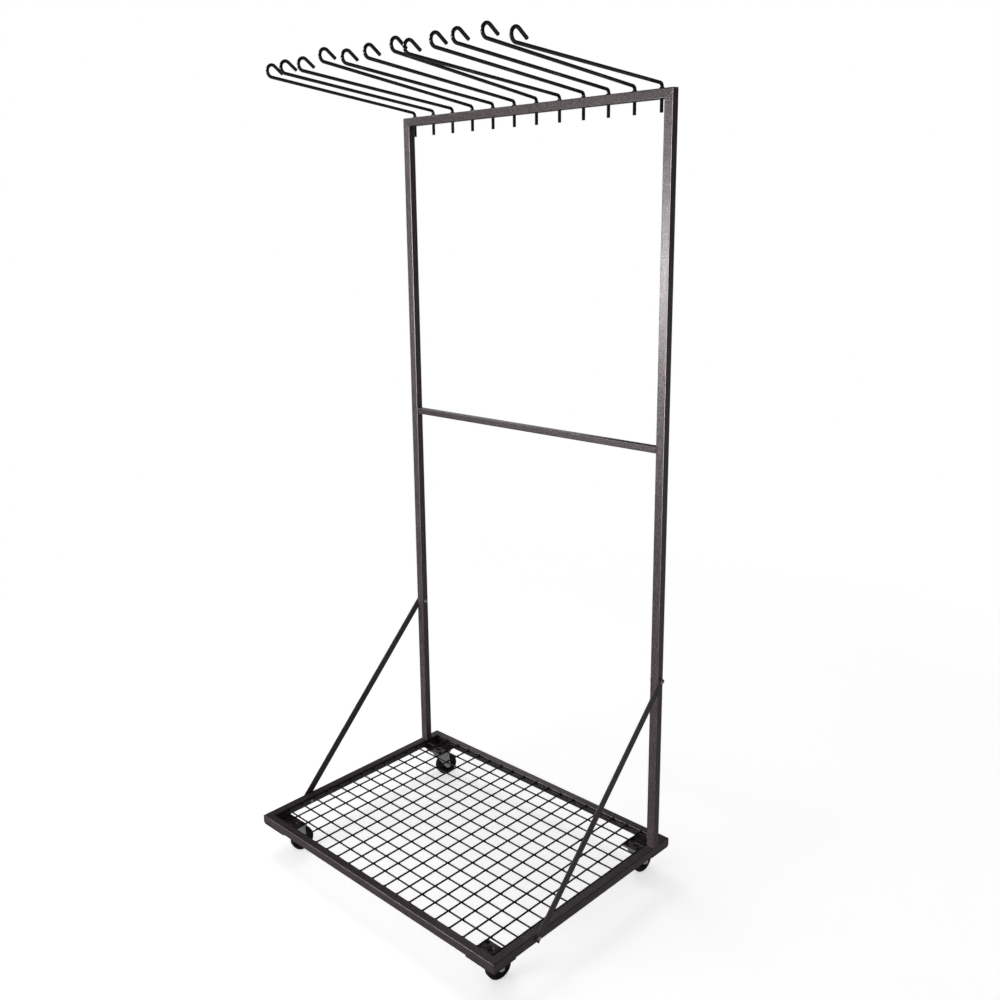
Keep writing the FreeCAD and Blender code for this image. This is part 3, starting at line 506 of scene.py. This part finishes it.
def nut_group(name, axis_of, half_flats, bore):
    """Refined nuts in place of every nut of a CAD node."""
    form = bmesh.new()
    for points in solids(name):
        centre = middle(points)
        axis = axis_of(centre)
        low, high = span(points, axis)
        seat = centre + axis * (low - centre.dot(axis))
        add_nut(form, axis_place(seat, axis), half_flats, high - low, bore)
    add_piece(name + "_hex", form, SLOTS[name], "frame", name)


def outwards(centre):
    return Vector((math.copysign(1, centre.x), 0, 0))


def upwards(centre):
    return Vector((0, 0, 1))


def add_frame_fasteners():
    """M6 bolts and nuts of the braces and of the caster plates."""
    flats = 5.0
    head = 4.0
    radius = 3.0
    pitch = 1.0
    bolt_group("brace_bolts", outwards, head, flats, radius, threaded=9.0, pitch=pitch)
    nut_group("brace_nuts", outwards, flats, radius)
    bolt_group("caster_plate_bolts", upwards, head, flats, radius, threaded=7.0, pitch=pitch)
    nut_group("caster_plate_nuts", upwards, flats, radius)


def add_axle_fasteners(corner):
    """Axle bolt and nut of one caster; the head is on the side the roll axis points away from."""
    joint = JOINTS[corner + "_roll"]
    centre = Vector(joint["pos_m"]) / MM
    axis = -Vector(joint["axis"])
    head = 5.3
    flats = 6.5
    radius = 4.0
    threaded = 9.0
    pitch = 1.25
    body = "caster_" + corner
    bolt_name = "axle_bolt_" + corner
    low, high = span(solids(bolt_name)[0], axis)
    along = centre.dot(axis)
    bolt = bmesh.new()
    seat = centre + axis * (high - head - along)
    length = high - head - low
    add_bolt(bolt, axis_place(seat, axis), flats, head, radius, length, threaded, pitch)
    add_piece(bolt_name + "_hex", bolt, "zinc", body, bolt_name)
    nut_name = "axle_nut_" + corner
    low, high = span(solids(nut_name)[0], axis)
    nut = bmesh.new()
    seat = centre + axis * (low - along)
    add_nut(nut, axis_place(seat, axis), flats, high - low, radius)
    add_piece(nut_name + "_hex", nut, "zinc", body, nut_name)


# ---- caster wheels, bearings and kingpins ---------------------------------------------------

def mirrored(half):
    """Profile made of a half and its mirror image below."""
    return half + [(radius, -height) for radius, height in reversed(half)]


def arc_points(centre, radius, start, end, steps=6):
    """Profile points on an arc, angles in degrees from the radial direction."""
    turns = (math.radians(start + (end - start) * step / steps) for step in range(steps + 1))
    return [(centre[0] + radius * math.cos(t), centre[1] + radius * math.sin(t)) for t in turns]


def add_tyre(corner, place):
    """Rubber tread with a raised bead on each wall, round shoulders and a fine mould line."""
    name = "tyre_" + corner
    bed = 26.0
    wall = 11.0
    tread = 37.5
    half = [(bed, wall - 1.2), (bed + 0.6, wall - 0.4), (bed + 1.6, wall), (bed + 3.4, wall)]
    half += [(bed + 4.0, wall - 0.6), (bed + 5.5, wall - 0.6), (bed + 6.2, wall - 0.1)]
    half += arc_points((tread - 5.1, wall - 5.0), 4.9, 80, 12)
    half += [(tread - 0.12, 3.0), (tread - 0.06, 0.45), (tread, 0.25)]
    form = bmesh.new()
    lathe(form, mirrored(half), place, steps=96, loop=True)
    add_piece(name + "_tread", form, SLOTS[name], "wheel_" + corner, name)


def add_hub(corner, place):
    """Moulded hub: rim, thin web stiffened by five tapering ribs, and a central boss."""
    name = "hub_" + corner
    ribs = 5
    web = 3.0
    rib = 7.4
    rib_spread = 6
    offsets = (-36, -26, -17, -9, -6, 0, 6, 9, 17, 26)
    turns = [math.radians(360 / ribs * number + offset)
             for number in range(ribs) for offset in offsets]
    on_rib = [abs(offset) <= rib_spread for _ in range(ribs) for offset in offsets]

    def ring(radius, height, ribbed=False):
        side = math.copysign(1, height)
        heights = [side * rib if ribbed and top else height for top in on_rib]
        return [Vector((radius * math.cos(t), radius * math.sin(t), z))
                for t, z in zip(turns, heights)]

    half = [(4.5, 13.0, False), (9.4, 13.0, False), (10.0, 12.4, False), (10.2, rib + 1, False)]
    half += [(10.5, web, True), (13.5, web, True), (17.0, web, True), (20.2, web, True)]
    half += [(20.6, rib + 0.8, False), (21.1, 9.0, False), (25.4, 9.0, False), (25.9, 8.5, False)]
    rings = [ring(*station) for station in half]
    rings += [ring(radius, -height, ribbed) for radius, height, ribbed in reversed(half)]
    rings += [ring(4.06, -12.5), ring(4.06, 12.5)]
    form = bmesh.new()
    skin(form, rings, place, loop=True)
    add_piece(name + "_moulding", form, SLOTS[name], "wheel_" + corner, name)


def add_wheel(corner):
    """Tyre, hub and axle fasteners about the roll axis."""
    joint = JOINTS[corner + "_roll"]
    place = axis_place(Vector(joint["pos_m"]) / MM, joint["axis"])
    add_tyre(corner, place)
    add_hub(corner, place)
    add_axle_fasteners(corner)


def add_kingpins():
    """Rivets with a domed top head and a flared lower head."""
    name = "caster_kingpins"
    head = 2.0
    shank = 5.95
    rim = 9.0
    form = bmesh.new()
    for points in solids(name):
        centre = middle(points)
        low, high = span(points, Vector((0, 0, 1)))
        profile = [(4.5, low), (8.0, low + 0.2), (rim, low + 1.0), (8.7, low + head)]
        profile += [(shank, low + head), (shank, high - head)]
        profile += [(rim, high - head), (rim, high - 1.3), (8.0, high - 0.7)]
        profile += [(5.5, high - 0.15), (3.6, high), (2.6, high - 0.5), (0.6, high - 0.7)]
        lathe(form, profile, Matrix.Translation((centre.x, centre.y, 0)))
    add_piece(name + "_domed", form, SLOTS[name], "frame", name)


def settle_order(form):
    """Sort edges and faces by their lowest corners, so that each run builds the same mesh."""
    form.verts.index_update()
    count = len(form.verts)

    def place_in_order(element):
        first, second, *others = sorted(vertex.index for vertex in element.verts)
        third = others[0] if others else 0
        return (first * count + second) * count + third

    form.edges.sort(key=place_in_order)
    form.faces.sort(key=place_in_order)


def add_bearings():
    """Ball race of each caster: grooved ring with a row of balls around it."""
    name = "swivel_bearings"
    balls = 18
    ball = 1.55
    bore = 9.0
    outside = 15.4
    track = 16.4
    form = bmesh.new()
    for points in solids(name):
        centre = middle(points)
        low, high = span(points, Vector((0, 0, 1)))
        level = (low + high) / 2
        axis = Matrix.Translation((centre.x, centre.y, 0))
        profile = [(bore, low), (outside, low)]
        profile += arc_points((track, level), 1.7, 245, 115)
        profile += [(outside, high), (bore, high)]
        lathe(form, profile, axis, loop=True)
        for number in range(balls):
            turn = TAU * number / balls
            spot = Vector((track * math.cos(turn), track * math.sin(turn), level))
            bmesh.ops.create_uvsphere(
                form, u_segments=16, v_segments=10, radius=ball,
                matrix=axis @ Matrix.Translation(spot),
            )
    settle_order(form)
    add_piece(name + "_race", form, "zinc", "frame", name)


# ---- welds ----------------------------------------------------------------------------------

def add_weld(form, start, end, radius=1.7, ripple=1.9):
    """Rippled bead along a straight joint, thin at both ends."""
    run = end - start
    steps = max(6, round(run.length / ripple * 3))
    rings = []
    for index in range(steps + 1):
        share = index / steps
        wave = 1 + 0.13 * math.cos(TAU * index / 3)
        taper = min(1, 0.45 + 4 * min(share, 1 - share) * run.length / 20)
        rings.append(circle(radius * wave * taper, share * run.length, 12))
    skin(form, rings, axis_place(start, run))


def add_bar_welds():
    """Beads around both ends of the mid bar, where it meets the posts."""
    form = bmesh.new()
    low, high = (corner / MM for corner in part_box("mid_bar"))
    inset = 1.0
    for x in (low.x, high.x):
        corners = [
            Vector((x, y, z))
            for y, z in ((low.y, low.z), (high.y, low.z), (high.y, high.z), (low.y, high.z))
        ]
        for start, end in zip(corners, corners[1:] + corners[:1]):
            pull = (end - start).normalized() * inset
            add_weld(form, start + pull, end - pull)
    add_piece("mid_bar_welds", form, "frame_coat", "frame")


def add_base_welds():
    """Upright beads in the inner corners of the base and short beads along the corner plates."""
    rail = 25.4
    bead_runs = ((10, 30), (38, 56))
    furthest_along_y = 52
    outer, top = (corner / MM for corner in (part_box("front_rail")[0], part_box("back_rail")[1]))
    half_x = top.x - rail
    half_y = top.y - rail
    underside = outer.z
    form = bmesh.new()
    for side_x in (-1, 1):
        for side_y in (-1, 1):
            corner = Vector((side_x * half_x, side_y * half_y, 0))
            add_weld(
                form, corner + Vector((0, 0, underside + 2)), corner + Vector((0, 0, top.z - 2)),
            )
            for near, far in bead_runs:
                z = Vector((0, 0, underside))
                along_x = Vector((-side_x, 0, 0))
                along_y = Vector((0, -side_y, 0))
                add_weld(form, corner + along_x * near + z, corner + along_x * far + z)
                far = min(far, furthest_along_y)
                add_weld(form, corner + along_y * near + z, corner + along_y * far + z)
    add_piece("base_welds", form, "frame_coat", "frame")


def add_deck_welds():
    """Squashed weld spots where the wires cross and small collars where they meet the rails."""
    cross = [middle(points) for points in solids("deck_cross_wires")]
    long = [middle(points) for points in solids("deck_long_wires")]
    form = bmesh.new()
    spot = [(0.8, -2.4), (2.2, -1.7), (3.0, -0.6), (3.0, 0.6), (2.2, 1.7), (0.8, 2.4)]
    for wire in cross:
        for other in long:
            seat = Vector((wire.x, other.y, (wire.z + other.z) / 2))
            lathe(form, spot, Matrix.Translation(seat), steps=10)
    collar = [(4.3, 0.0), (4.0, 0.8), (3.2, 1.9), (2.55, 3.4)]
    groups = ((cross, "deck_cross_wires", Vector((0, 1, 0))),
              (long, "deck_long_wires", Vector((1, 0, 0))))
    for wires, name, axis in groups:
        reach = (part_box(name)[1] / MM).dot(axis)
        for wire in wires:
            flat = wire - axis * wire.dot(axis)
            for side in (-1, 1):
                place = axis_place(flat + axis * (side * reach), -axis * side)
                lathe(form, collar, place, steps=16)
    add_piece("deck_weld_spots", form, "deck_coat", "frame")


def add_pieces():
    """Every piece that replaces or dresses the CAD nodes."""
    add_soft_edged_pieces()
    add_frame_fasteners()
    for corner in CORNERS:
        add_wheel(corner)
    add_kingpins()
    add_bearings()
    add_bar_welds()
    add_base_welds()
    add_deck_welds()


# ---- studio -------------------------------------------------------------------------------

def add_floor():
    """Wide flat floor at height 0."""
    mesh = bpy.data.meshes.new("studio_floor")
    form = bmesh.new()
    bmesh.ops.create_grid(form, x_segments=8, y_segments=8, size=30)
    form.to_mesh(mesh)
    form.free()
    floor = bpy.data.objects.new("studio_floor", mesh)
    bpy.context.scene.collection.objects.link(floor)
    coat(floor, studio_floor())


def add_softbox(name, place, aim, size, power, matt=True, gloss=True):
    """Area light, width by height, that faces a point.

    It can be left out of matt light or out of reflections.
    """
    light = bpy.data.lights.new(name, "AREA")
    light.shape = "RECTANGLE"
    light.size, light.size_y = size
    light.energy = power
    holder = bpy.data.objects.new(name, light)
    holder.location = place
    holder.rotation_mode = "QUATERNION"
    holder.rotation_quaternion = (Vector(aim) - Vector(place)).to_track_quat("-Z", "Y")
    holder.visible_diffuse = matt
    holder.visible_glossy = gloss
    bpy.context.scene.collection.objects.link(holder)
    return holder


def keep_to(light, pieces):
    """Let a light fall on a few pieces only."""
    group = bpy.data.collections.new(light.name + "_pieces")
    for piece in pieces:
        group.objects.link(piece)
    light.light_linking.receiver_collection = group


def add_world():
    """White to the camera, softer light on matt surfaces, and nearly dark in reflections."""
    world = bpy.data.worlds.new("studio")
    world.use_nodes = True
    tree = world.node_tree
    background = tree.nodes["Background"]
    background.inputs["Color"].default_value = (1.0, 1.0, 1.0, 1.0)
    rays = tree.nodes.new("ShaderNodeLightPath")
    hidden = tree.nodes.new("ShaderNodeMapRange")
    hidden.inputs["To Min"].default_value = ROOM_LEVEL
    hidden.inputs["To Max"].default_value = REFLECTED_ROOM
    tree.links.new(rays.outputs["Is Glossy Ray"], hidden.inputs["Value"])
    level = tree.nodes.new("ShaderNodeMapRange")
    level.inputs["To Max"].default_value = BACKDROP_LEVEL
    tree.links.new(hidden.outputs["Result"], level.inputs["To Min"])
    tree.links.new(rays.outputs["Is Camera Ray"], level.inputs["Value"])
    tree.links.new(level.outputs["Result"], background.inputs["Strength"])
    bpy.context.scene.world = world


def add_matt_lights():
    """One box lights the front faces and one high on the left the upper faces."""
    add_softbox(
        "front_box", place=(-1.2, -4.0, 0.6), aim=(0.1, 0.0, 0.5), size=(2.0, 1.2), power=135,
        gloss=False,
    )
    add_softbox(
        "top_box", place=(-2.2, 0.6, 4.4), aim=(0.0, 0.0, 0.4), size=(1.6, 1.6), power=25,
        gloss=False,
    )


def add_reflected_lights():
    """Boxes that only show in reflections.

    They draw the bright lines on the arms and wires, on the posts' upright edges, along the
    rails' upper edges and round the back. The one for the posts falls on nothing else.
    """
    add_softbox(
        "gleam_box", place=(-2.6, -4.4, 1.4), aim=(0.2, 0.3, 1.3), size=(0.8, 0.6), power=110,
        matt=False,
    )
    edge_box = add_softbox(
        "edge_box", place=(3.6, -3.2, 1.4), aim=(0.0, 0.3, 1.3), size=(1.5, 2.0), power=800,
        matt=False,
    )
    posts = [name + "_shell" for name in NODES if name.endswith("_post")]
    keep_to(edge_box, [bpy.data.objects[name] for name in posts])
    add_softbox(
        "brow_box", place=(-2.85, -1.45, 3.45), aim=(0.0, -0.3, 0.1), size=(1.0, 1.0), power=60,
        matt=False,
    )
    add_softbox(
        "back_box", place=(-2.6, 3.1, 2.5), aim=(0.0, 0.2, 0.2), size=(1.2, 1.0), power=5,
        matt=False,
    )


def add_camera():
    """Camera at the right front of the rack, a little lower than the top bar, looking down."""
    place = (2.0437, -2.0698, 1.9674)
    azimuth = math.radians(47.31)
    elevation = math.radians(13.45)
    roll = math.radians(-1.857)
    ahead = Vector((
        -math.sin(azimuth) * math.cos(elevation),
        math.cos(azimuth) * math.cos(elevation),
        -math.sin(elevation),
    ))
    level_side = ahead.cross(Vector((0, 0, 1))).normalized()
    side = Matrix.Rotation(-roll, 3, ahead) @ level_side
    turn = Matrix((side, side.cross(ahead), -ahead)).transposed().to_4x4()
    data = bpy.data.cameras.new("camera")
    data.sensor_width = 36.0
    data.lens = 38.41
    data.shift_x = 0.0961
    data.shift_y = -0.0388
    data.clip_end = 200
    camera = bpy.data.objects.new("camera", data)
    camera.matrix_world = Matrix.Translation(place) @ turn
    bpy.context.scene.collection.objects.link(camera)
    bpy.context.scene.camera = camera


dress_cad_nodes()
add_pieces()
add_floor()
add_world()
add_matt_lights()
add_reflected_lights()
add_camera()
bpy.context.scene.view_settings.view_transform = "Standard"
